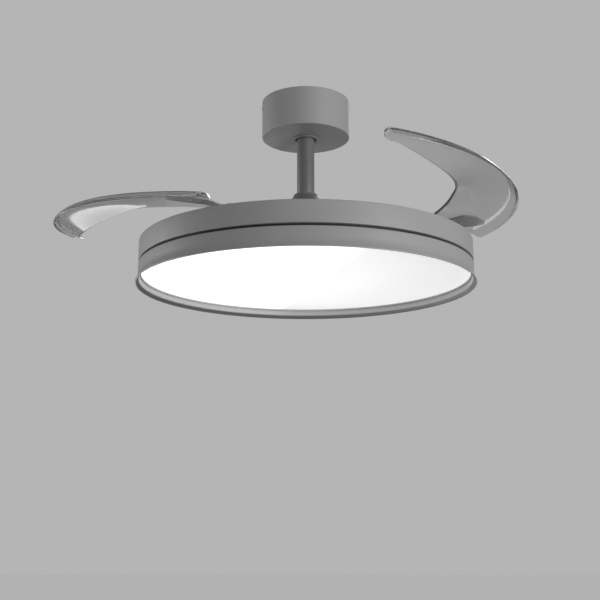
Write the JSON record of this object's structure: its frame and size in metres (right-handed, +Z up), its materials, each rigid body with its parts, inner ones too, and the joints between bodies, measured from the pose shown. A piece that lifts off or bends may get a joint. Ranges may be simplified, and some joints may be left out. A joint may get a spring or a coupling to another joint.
{
  "type": "retractable blade ceiling fan",
  "caption": "Ceiling fan with a round canopy, short downrod, flat lit lamp drum and clear crescent blades that swing out of the drum's outline, geared to open together.",
  "frame": {"origin": "middle of the ceiling plate's upper face, on the fan's axis, where it meets the ceiling", "axes": "+Z up into the ceiling; the reference view looks along +Y from the -Y side; +X to its right"},
  "size_m": [0.676, 0.7248, 0.295],
  "materials": {
    "grey_paint": "matt",
    "dark_paint": "matt",
    "steel": "brushed",
    "black_plastic": "matt",
    "white_plastic": "satin",
    "copper": "enamelled wire",
    "bronze": "satin",
    "magnet": "satin",
    "white_board": "satin",
    "diffuser_plastic": "satin",
    "clear_plastic": "clear"
  },
  "bodies": {
    "ceiling_set": {"ceiling_bracket": "steel", "canopy": "grey_paint", "canopy_grommet": "dark_paint", "canopy_screw_left": "steel", "canopy_screw_right": "steel", "remote_receiver": "white_plastic", "terminal_block": "white_plastic"},
    "hanging_set": {"hanger_ball": "black_plastic", "cross_pin": "steel", "downrod": "grey_paint", "coupling_yoke": "steel", "coupling_pin": "steel", "set_screw": "steel", "coupling_cover": "grey_paint", "motor_shaft": "steel", "shaft_nut": "steel", "stator_core": "magnet", "stator_windings": "copper", "lamp_housing": "grey_paint", "base_plate": "dark_paint", "spacer_ring": "dark_paint", "lower_ring": "grey_paint", "rim_screw_1": "steel", "rim_screw_2": "steel", "rim_screw_3": "steel", "led_board": "white_board", "led_driver": "white_plastic", "diffuser": "diffuser_plastic"},
    "rotor": {"motor_top_cover": "grey_paint", "motor_bottom_cover": "grey_paint", "magnet_ring": "magnet", "upper_bearing": "steel", "lower_bearing": "steel", "carrier_plate": "steel", "carrier_screw_1": "steel", "carrier_screw_2": "steel", "carrier_screw_3": "steel", "gear_cover": "grey_paint", "pivot_post_1": "steel", "pivot_post_2": "steel", "pivot_post_3": "steel", "pivot_nut_1": "steel", "pivot_nut_2": "steel", "pivot_nut_3": "steel"},
    "sync_gear": {"sync_ring": "steel"},
    "blade_set_1": {"blade_1": "clear_plastic", "blade_arm_1": "steel", "pivot_bush_1": "bronze", "return_spring_1": "steel", "blade_clamp_1": "steel"},
    "blade_set_2": {"blade_2": "clear_plastic", "blade_arm_2": "steel", "pivot_bush_2": "bronze", "return_spring_2": "steel", "blade_clamp_2": "steel"},
    "blade_set_3": {"blade_3": "clear_plastic", "blade_arm_3": "steel", "pivot_bush_3": "bronze", "return_spring_3": "steel", "blade_clamp_3": "steel"}
  },
  "joints": [
    {"name": "hanger_tilt", "type": "hinge", "parent": "ceiling_set", "child": "hanging_set", "pos_m": [0, 0, -0.027], "axis": [1, 0, 0], "range_deg": [-3, 3]},
    {"name": "rotor_spin", "type": "hinge", "parent": "hanging_set", "child": "rotor", "pos_m": [0, 0, -0.2], "axis": [0, 0, 1], "continuous": true},
    {"name": "blade_1_swing", "type": "hinge", "parent": "rotor", "child": "blade_set_1", "pos_m": [0.18253, -0.01308, -0.22], "axis": [0, 0, 1], "range_deg": [-44.8, 64.2], "stiffness_Nm_per_rad": 0.15, "springref_deg": -44.8},
    {"name": "blade_2_swing", "type": "hinge", "parent": "rotor", "child": "blade_set_2", "pos_m": [-0.07994, 0.16462, -0.22], "axis": [0, 0, 1], "range_deg": [-44.9, 64.3]},
    {"name": "blade_3_swing", "type": "hinge", "parent": "rotor", "child": "blade_set_3", "pos_m": [-0.1026, -0.15154, -0.22], "axis": [0, 0, 1], "range_deg": [-44.9, 64.3]},
    {"name": "sync_ring_turn", "type": "hinge", "parent": "rotor", "child": "sync_gear", "pos_m": [0, 0, -0.223], "axis": [0, 0, 1], "range_deg": [-12.8, 9]}
  ],
  "couplings": [
    {"joint": "blade_2_swing", "follows": "blade_1_swing", "ratio": 1},
    {"joint": "blade_3_swing", "follows": "blade_1_swing", "ratio": 1},
    {"joint": "sync_ring_turn", "follows": "blade_1_swing", "ratio": -0.19608}
  ]
}
